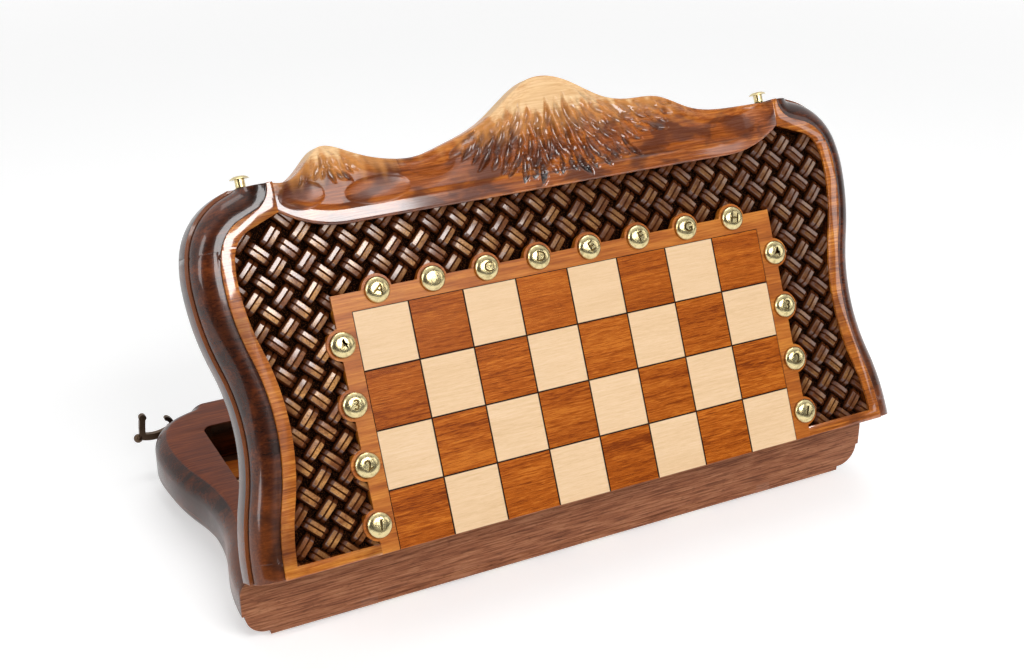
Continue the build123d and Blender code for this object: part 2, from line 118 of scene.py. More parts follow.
class Finish:
    """One material and the calls that build it."""

    def __init__(self, name):
        self.material = bpy.data.materials.new(name)
        self.material.use_nodes = True
        self.tree = self.material.node_tree
        self.shader = self.tree.nodes["Principled BSDF"]

    def node(self, kind, settings=None, values=None, out=0):
        made = self.tree.nodes.new(kind)
        for key, value in (settings or {}).items():
            if key == "stops":
                ramp = made.color_ramp
                while len(ramp.elements) < len(value):
                    ramp.elements.new(0.5)
                for element, (position, colour) in zip(ramp.elements, value):
                    element.position = position
                    element.color = (*colour[:3], 1.0)
            else:
                setattr(made, key, value)
        for key, value in (values or {}).items():
            self.feed(made.inputs[key], value)
        return Wire(self, made.outputs[out])

    def feed(self, socket, value):
        if isinstance(value, Wire):
            self.tree.links.new(value.socket, socket)
        elif hasattr(value, "__len__") and len(value) == 3 and socket.type == "RGBA":
            socket.default_value = (*value, 1.0)
        else:
            socket.default_value = value

    def set(self, **sockets):
        for name, value in sockets.items():
            self.feed(self.shader.inputs[name.replace("_", " ").title().replace("Ior", "IOR")], value)
        return self

    def colour(self):
        """What feeds the base colour so far."""
        return Wire(self, self.shader.inputs["Base Color"].links[0].from_socket)

    def mix(self, factor, first, second):
        return self.node("ShaderNodeMix", {"data_type": "RGBA"}, {0: factor, 6: first, 7: second}, out=2)

    def ramp(self, value, *stops):
        return self.node("ShaderNodeValToRGB", {"stops": stops}, {0: value})

    def step(self, value, low, high):
        """0 below low and 1 above high, smooth between."""
        kind = {"interpolation_type": "SMOOTHSTEP"}
        return self.node("ShaderNodeMapRange", kind, {0: value, 1: low, 2: high, 3: 0.0, 4: 1.0})

    def scaled(self, vector, factors):
        return self.node("ShaderNodeVectorMath", {"operation": "MULTIPLY"}, {0: vector, 1: factors})

    def moved(self, vector, offset):
        return self.node("ShaderNodeVectorMath", {"operation": "ADD"}, {0: vector, 1: offset})

    def noise(self, vector, scale=1.0, detail=4.0, roughness=0.5, distortion=0.0):
        values = {
            "Vector": vector,
            "Scale": scale,
            "Detail": detail,
            "Roughness": roughness,
            "Distortion": distortion,
        }
        return self.node("ShaderNodeTexNoise", {"noise_dimensions": "3D"}, values)

    def bump(self, height, strength, distance):
        values = {"Height": height, "Strength": strength, "Distance": distance}
        return self.node("ShaderNodeBump", None, values)

    def attribute(self, name):
        """A value kept on the mesh, point by point."""
        return self.node("ShaderNodeAttribute", {"attribute_name": name}, out=2)

    def place(self, half):
        """Object coordinates turned into the half's own millimetres."""
        raw = self.node("ShaderNodeTexCoord", out=3)
        turn = face_turn[half].to_euler()
        values = {
            "Vector": raw,
            "Location": face_middle[half] * MM,
            "Rotation": turn,
            "Scale": (MM, MM, MM),
        }
        return self.node("ShaderNodeMapping", {"vector_type": "TEXTURE"}, values)

    def parts(self, vector):
        split = self.node("ShaderNodeSeparateXYZ", None, {0: vector}).socket.node
        return [Wire(self, split.outputs[i]) for i in range(3)]


def paint(red, green, blue):
    """A colour as it looks on screen, 0 to 255, turned into the values that light works in."""
    made = []
    for value in (red, green, blue):
        v = value / 255
        made.append(v / 12.92 if v <= 0.04045 else ((v + 0.055) / 1.055) ** 2.4)
    return tuple(made)


# %% [markdown]
# Pale and dark woods are drawn by the same three layers: broad bands from the growth rings, fibres
# that run the length of the board, and short pores. On this box every board's grain runs along the
# fold. Only the colours and the polish differ, so one function makes them all.


# %% Wood grain
GRAIN_STRETCH = (0.05, 1.0, 1.0)


def grain(finish, place, shift=None):
    """Bands, fibres and pores, each from 0 to 1, running along x."""
    stretched = finish.scaled(place, GRAIN_STRETCH)
    if shift is not None:
        stretched = finish.moved(stretched, shift)
    bands = finish.noise(stretched, 0.085, 3.0, 0.55, 0.6)
    fibres = finish.noise(stretched, 0.75, 6.0, 0.62, 0.3)
    pores = finish.noise(finish.scaled(stretched, (2.2, 1.0, 1.0)), 1.9, 2.0, 0.5)
    return bands, fibres, finish.step(pores, 0.6, 0.72)


def wood(name, half, dark, mid, pale, roughness=0.32, coat=0.5):
    finish = Finish(name)
    place = finish.place(half)
    bands, fibres, pores = grain(finish, place)
    tone = bands * 0.55 + fibres * 0.45
    colour = finish.ramp(tone, (0.30, dark), (0.48, mid), (0.66, pale))
    colour = finish.mix(pores * 0.35, colour, dark)
    finish.set(base_color=colour, roughness=fibres * 0.12 + (roughness - 0.06))
    finish.set(normal=finish.bump(fibres - pores * 0.5, 0.12, 0.0003))
    finish.set(coat_weight=coat, coat_roughness=0.06, coat_ior=1.45, specular_ior_level=0.2)
    return finish, place


def dress(name, finish):
    """Give a CAD node its finish."""
    node = nodes[name]
    node.data.materials.clear()
    node.data.materials.append(finish.material)


# %% [markdown]
# Sides and rails are one run of wood, so they share one finish, laid by place: honey on the flat
# border that frames the carving, near-black varnish on the moulding, amber where a thumb would rub
# its crown, and plain satin walnut on the sawn fold. Thin dark lines of painted shade lie in the
# moulding's quirk and crease, and a painted highlight runs along its ledge. The base is rubbed duller than
# the lid.

# %% Walls and tray
INK_BROWN = paint(20, 10, 7)
MOULDING_WOODS = (paint(26, 10, 4), paint(62, 25, 8), paint(112, 52, 17))
HONEY_WOODS = (paint(104, 48, 10), paint(172, 92, 24), paint(212, 136, 50))
WALNUT_WOODS = (paint(98, 54, 34), paint(148, 92, 62), paint(180, 124, 88))
RIM_WOODS = (paint(70, 28, 12), paint(112, 52, 26), paint(142, 74, 38))
TRAY_WOODS = (paint(40, 20, 12), paint(74, 38, 20), paint(104, 58, 32))
# Heights under the face: the moulding's quirk, its lower flat, and where honey turns to varnish.
QUIRK, FLAT_TOP = -3.0, -18.5
BORDER_EDGE = (-2.6, -1.0)
BASE_GLOSS = 0.35
WALL_PARTS = ("left_side", "right_side", "latch_rail", "spine_rail")


def sawn_wood(finish, place, colour):
    """The fold is sawn straight through every board, and is left as plain satin walnut."""
    _, fibres, _ = grain(finish, place)
    _, y, _ = finish.parts(place)
    fleck = finish.step(finish.noise(finish.scaled(place, (0.25, 1.0, 1.0)), 0.9, 2.0, 0.5), 0.58, 0.7)
    walnut = finish.ramp(fibres, *zip((0.34, 0.5, 0.66), WALNUT_WOODS))
    walnut = finish.mix(fleck * 0.35, walnut, paint(70, 36, 20))
    sawn = 1 - finish.step(y, 0.5, 0.8)
    return sawn, finish.mix(sawn, colour, walnut)


def near(finish, value, middle, core, fade):
    """1 within core of the middle, falling to 0 at fade."""
    gap = finish.node("ShaderNodeMath", {"operation": "ABSOLUTE"}, {0: value - middle})
    return 1 - finish.step(gap, core, fade)


def wall_finish(half):
    finish, place = wood(f"wall_{half}", half, *MOULDING_WOODS)
    _, y, z = finish.parts(place)
    cloud = finish.noise(place, 0.028, 4.0, 0.6)
    varnish = finish.colour()
    bands, fibres, _ = grain(finish, place)
    worn = 1 - finish.step(y + cloud * 60, 70, 120)
    varnish = finish.mix(worn * 0.6, varnish, finish.mix(fibres, paint(64, 28, 10), paint(150, 76, 26)))
    shade = finish.step(cloud, 0.46, 0.62)
    varnish = finish.mix(shade * 0.6, varnish, INK_BROWN)
    honey = finish.ramp(bands * 0.4 + fibres * 0.6, *zip((0.36, 0.5, 0.62), HONEY_WOODS))
    honey = finish.mix(shade * 0.45, honey, paint(84, 38, 14))
    flat = finish.step(z, *BORDER_EDGE)
    colour = finish.mix(flat, varnish, honey)
    # Painted highlight: the ledge is drawn as an amber stripe where it catches the light.
    ledge_highlight = near(finish, z, FLAT_TOP, 0.5, 0.9)
    colour = finish.mix(ledge_highlight * 0.8, colour, paint(124, 64, 22))
    # Painted shade: thin dark lines in the quirk of the face's step and in the crease just above the ledge.
    painted_crease_shade = near(finish, z, QUIRK + 0.5, 0.2, 0.5) + near(finish, z, FLAT_TOP + 2.0, 0.4, 1.3)
    colour = finish.mix(painted_crease_shade * 0.9, colour, INK_BROWN)
    rim = 1 - finish.step(z, 0.5 - HALF_THICKNESS, 1.0 - HALF_THICKNESS)
    satin = finish.ramp(bands * 0.3 + fibres * 0.7, *zip((0.36, 0.5, 0.64), RIM_WOODS))
    colour = finish.mix(rim, colour, satin)
    sawn, colour = sawn_wood(finish, place, colour)
    finish.set(base_color=colour, roughness=0.2 + fibres * 0.1 + rim * 0.25 + sawn * 0.3)
    gloss = (flat * 0.7 + 0.3) * (1.0 if half == "lid" else BASE_GLOSS)
    finish.set(coat_weight=(1 - sawn) * (1 - rim * 0.9) * gloss, coat_ior=1.7)
    return finish


for half in ("lid", "base"):
    walls = wall_finish(half)
    tray, _ = wood(f"tray_{half}", half, *TRAY_WOODS, roughness=0.45, coat=0.15)
    for part in WALL_PARTS:
        dress(f"{half}_{part}", walls)
    dress(f"{half}_tray_lining", tray)
print("walls dressed")

# %% [markdown]
# The squares are solid tiles. Each is cut from another stretch of board, so the grain is shifted and
# the colour nudged by a random value per tile, read from the tile's place in the grid. A thin dark
# line is left in the grooves where the stain has run.

# %% Squares, frame band and backgammon points
TILE_PALE = (paint(212, 174, 128), paint(230, 196, 156), paint(240, 210, 176))
TILE_AMBER = (paint(112, 46, 6), paint(168, 82, 14), paint(204, 118, 36))
GROOVE = 0.55


def tile_finish(name, half, colours, contrast):
    finish = Finish(name)
    place = finish.place(half)
    cell = finish.scaled(place, (1 / SQUARE, 1 / SQUARE, 0))
    index = finish.node("ShaderNodeVectorMath", {"operation": "FLOOR"}, {0: cell})
    chance = finish.node("ShaderNodeTexWhiteNoise", {"noise_dimensions": "3D"}, {0: index}, out=1)
    shift = finish.scaled(chance, (40, 90, 70))
    bands, fibres, pores = grain(finish, place, shift)
    streaks = finish.moved(finish.scaled(place, (0.06, 1.0, 1.0)), shift)
    fine = finish.noise(streaks, 1.6, 3.0, 0.7, 0.8)
    tone = (bands * 0.25 + fibres * 0.3 + fine * 0.45 - 0.5) * contrast + 0.5
    colour = finish.ramp(tone, *zip((0.36, 0.5, 0.64), colours))
    colour = finish.mix(pores * 0.35, colour, colours[0])
    stain, _, _ = finish.parts(chance)
    colour = finish.mix(stain * 0.12 * contrast, colour, colours[0])
    inside = finish.node("ShaderNodeVectorMath", {"operation": "FRACTION"}, {0: cell})
    u, v, _ = finish.parts(inside)
    near_u = finish.node("ShaderNodeMath", {"operation": "PINGPONG"}, {0: u, 1: 0.5})
    near_v = finish.node("ShaderNodeMath", {"operation": "PINGPONG"}, {0: v, 1: 0.5})
    closest = finish.node("ShaderNodeMath", {"operation": "MINIMUM"}, {0: near_u, 1: near_v})
    edge = GROOVE / SQUARE
    line = 1 - finish.step(closest, edge * 0.6, edge * 1.3)
    sawn, colour = sawn_wood(finish, place, finish.mix(line, colour, paint(38, 18, 8)))
    finish.set(base_color=colour, roughness=fibres * 0.1 + 0.28 + sawn * 0.2)
    finish.set(normal=finish.bump(fibres - pores, 0.08, 0.0003), coat_weight=0.2, coat_roughness=0.08)
    finish.set(coat_ior=1.4, specular_ior_level=0.08)
    return finish


for half in ("lid", "base"):
    dress(f"{half}_light_squares", tile_finish(f"pale_tiles_{half}", half, TILE_PALE, 0.7))
    dress(f"{half}_dark_squares", tile_finish(f"amber_tiles_{half}", half, TILE_AMBER, 1.6))
    band, place = wood(f"honey_{half}", half, *HONEY_WOODS)
    band.set(base_color=sawn_wood(band, place, band.colour())[1])
    dress(f"{half}_chess_frame", band)
    pale, _ = wood(f"pale_points_{half}", half, *TILE_PALE, roughness=0.4, coat=0.2)
    amber, _ = wood(f"amber_points_{half}", half, *TILE_AMBER, roughness=0.4, coat=0.2)
    dress(f"{half}_light_points", pale)
    dress(f"{half}_dark_points", amber)
print("squares and points dressed")

# %% [markdown]
# Brass is one finish for the latch studs, hinges, plates and screws, a little warmer and duller where
# fingers have not kept it bright. The hooks are the same metal, blackened.


# %% Metals
def metal(name, colour, dull, roughness):
    finish = Finish(name)
    place = finish.node("ShaderNodeTexCoord", out=3)
    cloud = finish.noise(place, 220.0, 4.0, 0.6)
    fine = finish.noise(place, 1500.0, 2.0, 0.5)
    tint = finish.mix(finish.step(cloud, 0.45, 0.7) * 0.6, colour, dull)
    finish.set(base_color=tint, metallic=1.0, roughness=cloud * 0.2 + (roughness - 0.1))
    finish.set(normal=finish.bump(fine, 0.05, 0.0002))
    return finish


brass = metal("brass", paint(214, 198, 150), paint(160, 136, 84), 0.24)
bronze = metal("bronze", paint(96, 78, 62), paint(52, 40, 32), 0.38)
for name in (
    "hinge_pins",
    "latch_studs",
    "hook_screws",
    "hook_plates",
    "lid_hinge_leaves",
    "base_hinge_leaves",
    "lid_hinge_screws",
    "base_hinge_screws",
):
    dress(name, brass)
for name in ("hook_left", "hook_right"):
    dress(name, bronze)

# %% [markdown]
# ## Tools for shaping
# An operator works on whatever is selected, so every piece starts from an empty selection and
# picks its own faces and points by their place.


# %% Selecting, placing and finishing a piece
def nothing_selected():
    if bpy.context.object and bpy.context.object.mode != "OBJECT":
        bpy.ops.object.mode_set(mode="OBJECT")
    bpy.ops.object.select_all(action="DESELECT")


def only(piece):
    nothing_selected()
    bpy.context.view_layer.objects.active = piece
    piece.select_set(True)


def pick(piece, wanted):
    """In edit mode, select the points whose place passes the test."""
    mesh = bmesh.from_edit_mesh(piece.data)
    for vertex in mesh.verts:
        vertex.select = bool(wanted(vertex.co))
    mesh.select_flush_mode()
    bmesh.update_edit_mesh(piece.data)


def outward():
    """In edit mode, turn every face outward, then leave the mode."""
    bpy.ops.mesh.select_all(action="SELECT")
    bpy.ops.mesh.normals_make_consistent(inside=False)
    bpy.ops.object.mode_set(mode="OBJECT")


def settle(piece, name, half, finish, stands_for):
    """Place a piece modelled in the half's millimetres, attach it to its half's body and hide the node it
    stands for.

    A piece whose mesh has its own materials already comes with None for its finish.
    """
    piece.data.transform(face_matrix(half))
    piece.name = name
    piece.data.name = name
    if finish is not None:
        piece.data.materials.clear()
        piece.data.materials.append(finish.material)
    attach(piece, half)
    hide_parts(stands_for)
    print(name, len(piece.data.polygons), "faces")


def joined(pieces):
    only(pieces[0])
    for piece in pieces:
        piece.select_set(True)
    bpy.ops.object.join()
    return bpy.context.object


# %% [markdown]
# ## The woven field
# The carver cuts a plain weave at 45 degrees. Where a strand passes over, it shows as a short double
# ridge whose ends dive under its neighbours, and a dark hole is left at each corner between. One
# such ridge is shaped from a grid: each row of points is drawn out to its place and dropped below the
# crown, first along the strand and then across it, and the edge is extruded down and closed.

# %% One ridge of the weave
WEAVE_PITCH = 0.25 * SQUARE * math.sqrt(2)
CROWN = -1.5
FLOOR = -7.0
RIDGE_SKIRT = 2.0
GROOVE_SIDE = [(0.7, 0.0), (3.1, -0.1), (3.5, -0.5), (4.6, -3.6)]
DIVING_END = [(5.0, -0.1), (6.2, -1.0), (8.0, -2.7), (9.8, -4.6)]


def both_ways(middle_drop, side):
    """Place and drop of every row, from the middle's drop and the rows on one side of it."""
    return [(-place, drop) for place, drop in reversed(side)] + [(0.0, middle_drop)] + side


ACROSS = both_ways(-1.2, GROOVE_SIDE)
ALONG = both_ways(0.1, DIVING_END)


def weave_ridge():
    nothing_selected()
    bpy.ops.mesh.primitive_grid_add(x_subdivisions=len(ALONG) - 1, y_subdivisions=len(ACROSS) - 1, size=2)
    ridge = bpy.context.object
    bpy.ops.object.mode_set(mode="EDIT")
    for axis, rows in ((0, ALONG), (1, ACROSS)):
        for number, (place, drop) in enumerate(rows):
            at = -1 + 2 * number / (len(rows) - 1)
            pick(ridge, lambda co: abs(co[axis] - at) < 1e-4)
            shift = [0, 0, drop]
            shift[axis] = place - at
            bpy.ops.transform.translate(value=shift)
    bpy.ops.mesh.select_all(action="SELECT")
    bpy.ops.mesh.region_to_loop()
    bpy.ops.mesh.extrude_edges_move(TRANSFORM_OT_translate={"value": (0, 0, -RIDGE_SKIRT)})
    bpy.ops.mesh.edge_face_add()
    outward()
    ridge.data.transform(Matrix.Translation((0, 0, CROWN)))
    return ridge


# %% [markdown]
# The field is bounded by the border. Its outline is the wall's plan set in by the border's width, so
# it is worked out from the same arcs as the wall: two sways, a shoulder, and a horn at each end of
# the crest rail.

# %% The outline of the field
BORDER = 8.2
FIELD_FRONT = 7.2
FIELD_REAR = 5.42 * SQUARE
HORN = (4.87 * SQUARE, 5.80 * SQUARE)
FIELD_FLAT = 3.7 * SQUARE
BAND_OUTER = 4.31 * SQUARE
FACE_END, WAIST, WIDEST = 5.965 * SQUARE, 5.61 * SQUARE, 5.975 * SQUARE
WAIST_AT, WIDEST_AT = 2.4 * SQUARE, 4.85 * SQUARE
SHOULDER_AT, SHOULDER_RADIUS = 5.0 * SQUARE, 0.56 * SQUARE


def sway_width(y):
    """Half width of the face at y, between the fold and the shoulder."""
    if y < WAIST_AT:
        low, high, t = FACE_END, WAIST, y / WAIST_AT
    else:
        low, high, t = WAIST, WIDEST, min((y - WAIST_AT) / (WIDEST_AT - WAIST_AT), 1.0)
    return low + (high - low) * (0.5 - 0.5 * math.cos(math.pi * t))


def rail_foot(x):
    """The crest rail's lower edge: straight in the middle, swept up to the horns."""
    reach = abs(x) - FIELD_FLAT
    if reach <= 0:
        return FIELD_REAR
    span, sag = HORN[0] - FIELD_FLAT, HORN[1] - FIELD_REAR
    radius = (span * span + sag * sag) / (2 * sag)
    return FIELD_REAR + radius - math.sqrt(max(radius * radius - reach * reach, 0))


def in_field(x, y, margin=0.0):
    """True where the carved field is, grown by a margin."""
    x = abs(x)
    if y < FIELD_FRONT - margin or y > rail_foot(min(x, HORN[0])) + margin:
        return False
    if x < BAND_OUTER - margin and y < BAND_OUTER - margin:
        return False
    if x > sway_width(y) - BORDER + margin:
        return False
    if y > SHOULDER_AT:
        centre = (WIDEST - BORDER - SHOULDER_RADIUS, SHOULDER_AT)
        if x > centre[0] and math.dist((x, y), centre) > SHOULDER_RADIUS + margin:
            return False
    return True


# %% [markdown]
# The ridge is copied to every crossing, turned by a quarter from one to the next. A crossing just
# under the border counts too, because its ridge shows at one end and is hidden in the border's wood at
# the other. No two are quite alike on a carved board, so each copy is a little longer, wider, deeper or
# turned. Joined, they are one piece, cut off straight beneath the rail at the fold.

# %% The weave, laid crossing by crossing
CROSSINGS = range(-30, 31)
WEAVE_SHIFT = 0.05 * SQUARE
UNDER_BORDER = 3.6
UNDER_RAIL = 3


def woven():
    ridge = weave_ridge()
    made = []
    rng = random.Random(7)
    for i in CROSSINGS:
        for j in CROSSINGS:
            x = (i + j) * WEAVE_PITCH / math.sqrt(2) - WEAVE_SHIFT
            y = (j - i) * WEAVE_PITCH / math.sqrt(2) - WEAVE_SHIFT
            if not in_field(x, y, UNDER_BORDER):
                continue
            angle = math.radians(45 if (i + j) % 2 == 0 else -45) + rng.uniform(-0.03, 0.03)
            copy = ridge.copy()
            copy.data = ridge.data.copy()
            bpy.context.collection.objects.link(copy)
            size = Matrix.Diagonal((rng.uniform(0.97, 1.04), rng.uniform(0.94, 1.05), 1, 1))
            place = Matrix.Translation((x, y, rng.uniform(-0.25, 0.1)))
            copy.data.transform(place @ Matrix.Rotation(angle, 4, "Z") @ size)
            made.append(copy)
    bpy.data.objects.remove(ridge)
    print("ridges:", len(made))
    strands = joined(made)
    bpy.ops.object.mode_set(mode="EDIT")
    bpy.ops.mesh.select_all(action="SELECT")
    under_rail = {"plane_co": (0, FIELD_FRONT - UNDER_RAIL, 0), "plane_no": (0, -1, 0)}
    bpy.ops.mesh.bisect(**under_rail, clear_outer=True, use_fill=True)
    bpy.ops.object.mode_set(mode="OBJECT")
    return strands


# %% [markdown]
# The crowns are rubbed back to amber, and by depth the wood turns brown down the flanks and almost
# black in the holes, stain and painted shade together. The finish therefore mixes its colours by depth, with
# a noise that frays the line between two of them.
# The crowns are darker towards one outer corner of each half, and darkened by painted shade all along the
# border.

# %% The weave's finish
def weave_finish(half):
    """Amber on the crowns, brown down the flanks, nearly black in the holes (stain and painted shade),
    painted shade and less gloss by the border.
    """
    finish = Finish(f"weave_{half}")
    place = finish.place(half)
    x, y, z = finish.parts(place)
    fibres = finish.noise(place, 0.9, 5.0, 0.65)
    cloud = finish.noise(place, 0.06, 3.0, 0.55)
    depth = z + fibres * 0.9 - 0.45
    crowns_worn_and_shaded = finish.mix(finish.step(cloud, 0.38, 0.62), paint(206, 148, 84), paint(128, 74, 34))
    # Darker towards one outer corner of the half.
    crowns_worn_and_shaded = finish.mix(finish.step(x + y, -60, 330) * 0.75, crowns_worn_and_shaded, paint(74, 40, 17))
    # Painted shade: the crowns darken near the border and the crest rail.
    edge = finish.attribute("edge")
    crowns_worn_and_shaded = finish.mix(edge * 0.75, crowns_worn_and_shaded, paint(78, 40, 17))
    crowns_worn_and_shaded = finish.mix(finish.step(fibres, 0.45, 0.62) * 0.6, crowns_worn_and_shaded, paint(86, 46, 20))
    # Painted shade with stain: brown down the flanks and nearly black in the holes, mixed by depth below the
    # crowns.
    speck = finish.step(finish.noise(place, 1.4, 3.0, 0.6), 0.52, 0.62)
    deep = finish.mix(speck * 0.8, paint(12, 6, 4), paint(78, 42, 20))
    flank = finish.mix(finish.step(depth, -5.2, -3.2), deep, paint(78, 38, 15))
    colour = finish.mix(finish.step(depth, -2.15, -1.6), flank, crowns_worn_and_shaded)
    crown = finish.step(depth, -4.5, -1.8)
    finish.set(base_color=colour, roughness=fibres * 0.25 + 0.3)
    finish.set(normal=finish.bump(fibres, 0.5, 0.0008))
    finish.set(coat_weight=crown * (1 - edge * 0.65), coat_roughness=0.15)
    finish.set(coat_ior=1.7, specular_ior_level=0.0)
    return finish


# %% [markdown]
# A flat ground shows at the bottom of every hole. It is a grid of one column whose rows are drawn out
# to the field's own width, then extruded down to a board. Each point of the weave also keeps how near
# the border it is, as a value on the mesh that the finish reads.

# %% The ground, and the finished field
GROUND_ROWS, GROUND_THICKNESS = 40, 7.0


def field_width(y):
    """Half width of the field at y."""
    x = WIDEST
    while not in_field(x, y) and x > HORN[0]:
        x -= 0.5
    return x


def field_floor():
    """The flat ground under the ridges, reaching a little under the border."""
    nothing_selected()
    bpy.ops.mesh.primitive_grid_add(x_subdivisions=1, y_subdivisions=GROUND_ROWS, size=2)
    ground = bpy.context.object
    low, high = FIELD_FRONT - 1, HORN[1] - 1
    for vertex in ground.data.vertices:
        y = low + (vertex.co.y + 1) / 2 * (high - low)
        inside = y if y >= FIELD_REAR else min(max(y, FIELD_FRONT + 0.5), FIELD_REAR - 0.5)
        vertex.co = (vertex.co.x * (field_width(inside) + 1.5), y, FLOOR)
    bpy.ops.object.mode_set(mode="EDIT")
    bpy.ops.mesh.select_all(action="SELECT")
    bpy.ops.mesh.extrude_region_move(TRANSFORM_OT_translate={"value": (0, 0, -GROUND_THICKNESS)})
    outward()
    return ground


def mark_edge(weave):
    """How near each point is to the border, for the painted shade there: 0 in the open field, 1 against the
    wood round it.
    """
    nearness = []
    for vertex in weave.data.vertices:
        x, y, _ = vertex.co
        nearness.append(sum(not in_field(x, y, -step) for step in (3.0, 5.0, 7.0)) / 3)
    layer = weave.data.attributes.new("edge", "FLOAT", "POINT")
    layer.data.foreach_set("value", nearness)


for half in ("lid", "base"):
    weave = joined([woven(), field_floor()])
    mark_edge(weave)
    only(weave)
    bpy.ops.object.shade_smooth_by_angle(angle=math.radians(22))
    panel = f"{half}_carved_panel"
    settle(weave, f"{half}_woven_field", half, weave_finish(half), panel)

# %% [markdown]
# ## Walls that shine smoothly
# The moulding is turned through many small facets, and a glossy finish would show each one. A copy
# of each wall is merged into one skin, its hard corners are eased by a small bevel, and it is
# shaded smooth up to an angle, so light runs along the quarter round as it does on varnish.

# %% Walls, merged and eased
CORNER, CORNER_ANGLE = 0.35, math.radians(40)
SEAMS = (12.0, 5.35 * SQUARE)


def face_copy(name, half):
    """A CAD node's mesh as a free object in the half's own millimetres, merged."""
    nothing_selected()
    copy = bpy.data.objects.new(name + "_copy", nodes[name].data.copy())
    bpy.context.collection.objects.link(copy)
    copy.data.transform(face_matrix(half).inverted())
    only(copy)
    bpy.ops.object.mode_set(mode="EDIT")
    bpy.ops.mesh.select_all(action="SELECT")
    bpy.ops.mesh.remove_doubles(threshold=0.002)
    bpy.ops.mesh.dissolve_limited(angle_limit=math.radians(0.6), delimit={"NORMAL"})
    bpy.ops.object.mode_set(mode="OBJECT")
    return copy


def ease_corners(piece):
    """Bevel the hard corners, but leave the edges of a glued seam tight."""
    only(piece)
    bpy.ops.object.mode_set(mode="EDIT")
    bpy.context.tool_settings.mesh_select_mode = (False, True, False)
    bpy.ops.mesh.select_all(action="DESELECT")
    bpy.ops.mesh.edges_select_sharp(sharpness=CORNER_ANGLE)
    mesh = bmesh.from_edit_mesh(piece.data)
    for edge in mesh.edges:
        if any(all(abs(v.co.y - seam) < 0.05 for v in edge.verts) for seam in SEAMS):
            edge.select = False
    bmesh.update_edit_mesh(piece.data)
    bpy.ops.mesh.bevel(offset=CORNER, segments=2, affect="EDGES", clamp_overlap=True)
    bpy.context.tool_settings.mesh_select_mode = (True, False, False)
    bpy.ops.object.mode_set(mode="OBJECT")
    bpy.ops.object.shade_smooth_by_angle(angle=CORNER_ANGLE)


for half in ("lid", "base"):
    for part in WALL_PARTS:
        name = f"{half}_{part}"
        wall = face_copy(name, half)
        ease_corners(wall)
        settle(wall, f"{name}_wall", half, None, name)

# %% [markdown]
# ## The mountain crest
# The board above the field is a soft rounded rail with two bare peaks, and below each peak the
# carver has pressed rows of leaf-shaped gouge strokes that fan out from its top. A fine grid is laid
# between the rail's foot and its skyline, and each stroke pushes the grid down where it passes.
# Cutting every stroke with a Boolean would give the same hollows, but much more slowly.

# %% The rail's rounded section
CREST_END = 4.87 * SQUARE
CREST_BACK = -24.0
FOOT_ROUND, FOOT_DROP = 1.8, 1.6
FOOT_BAND, LEAN = 9.0, 0.07
COLUMNS, MIDDLE_ROWS, FOOT_ROWS, TOP_ROWS = 520, 80, 8, 10


def crest_skyline():
    """The skyline, read from the flat back edge of the crest node."""
    turn = face_matrix("lid").inverted()
    points = [turn @ v.co for v in nodes["lid_crest"].data.vertices]
    edge = sorted((round(p.x, 2), p.y) for p in points if p.z < CREST_BACK + 0.01 and p.y > HORN[1] + 1)
    return [p[0] for p in edge], [p[1] for p in edge]


skyline = crest_skyline()
print("skyline from", round(min(skyline[1])), "to", round(max(skyline[1])), "mm above the fold")


def top_round(x):
    """The round-over is broad over the peaks and tight where the rail meets the shoulders."""
    t = np.clip((CREST_END - np.abs(x)) / 45, 0, 1)
    return 0.8 + 11.2 * t * t * (3 - 2 * t)


def rail_section():
    """Places of the grid's points, row by row from the foot to the skyline, before any carving."""
    x = np.linspace(-CREST_END, CREST_END, COLUMNS)
    foot = np.array([rail_foot(v) for v in x])
    sky = np.interp(x, *skyline)
    over = top_round(x)
    rows = []
    for turn in np.linspace(0, math.pi / 2, FOOT_ROWS):
        rows.append((foot + FOOT_ROUND * (1 - math.cos(turn)), FOOT_DROP * (math.sin(turn) - 1) + 0 * x))
    for t in np.linspace(0, 1, MIDDLE_ROWS)[1:-1]:
        low, high = foot + FOOT_ROUND, sky - over
        rows.append((low + t * (high - low), 0 * x))
    for turn in np.linspace(0, math.pi / 2, TOP_ROWS):
        rows.append((sky - over * (1 - math.sin(turn)), -over * (1 - math.cos(turn))))
    y = np.array([r[0] for r in rows])
    z = np.array([r[1] for r in rows])
    return np.broadcast_to(x, y.shape), y, z


# %% [markdown]
# A stroke is a leaf: pointed at both ends, widest and deepest past its middle, and a little curved.
# Rows of strokes are dealt out round a centre above each peak, with chance in their place, lean and
# size, and only those below the bare cap and above the plain band are kept. The lines along the band
# and the shallow dishes are broad smooth dips in the same depth.

# %% The gouge strokes
DEEP_CUT = 1.6
# Each line's height over the rail's foot, depth and half width.
BAND_LINES = ((9.5, 0.9, 1.6), (13.2, 0.6, 1.3), (6.4, 0.35, 1.0))
# Each dish's place, half width, half height and depth.
DISHES = ((-168, 228, 15, 9, 1.3), (-118, 224, 22, 9, 1.2), (-78, 236, 16, 10, 0.8))


def fan(centre, start, stop, spread, length, width, depth, pace, rng):
    """Rows of strokes fanning out from a centre: place, heading, length, width and depth of each."""
    strokes = []
    reach, row = start, 0
    while reach < stop:
        turn = spread[0] + (row % 2) * width / reach * 0.5
        while turn < spread[1]:
            heading = 1.35 * turn + rng.uniform(-0.2, 0.2)
            far = reach + rng.uniform(-2.0, 2.0)
            at = (centre[0] + far * math.sin(turn), centre[1] - far * math.cos(turn))
            size = rng.uniform(0.5, 1.3)
            strokes.append((at, heading, length * size, width * rng.uniform(0.7, 1.15), depth * size))
            turn += width / reach * rng.uniform(0.95, 1.35)
        reach += pace
        row += 1
    return strokes


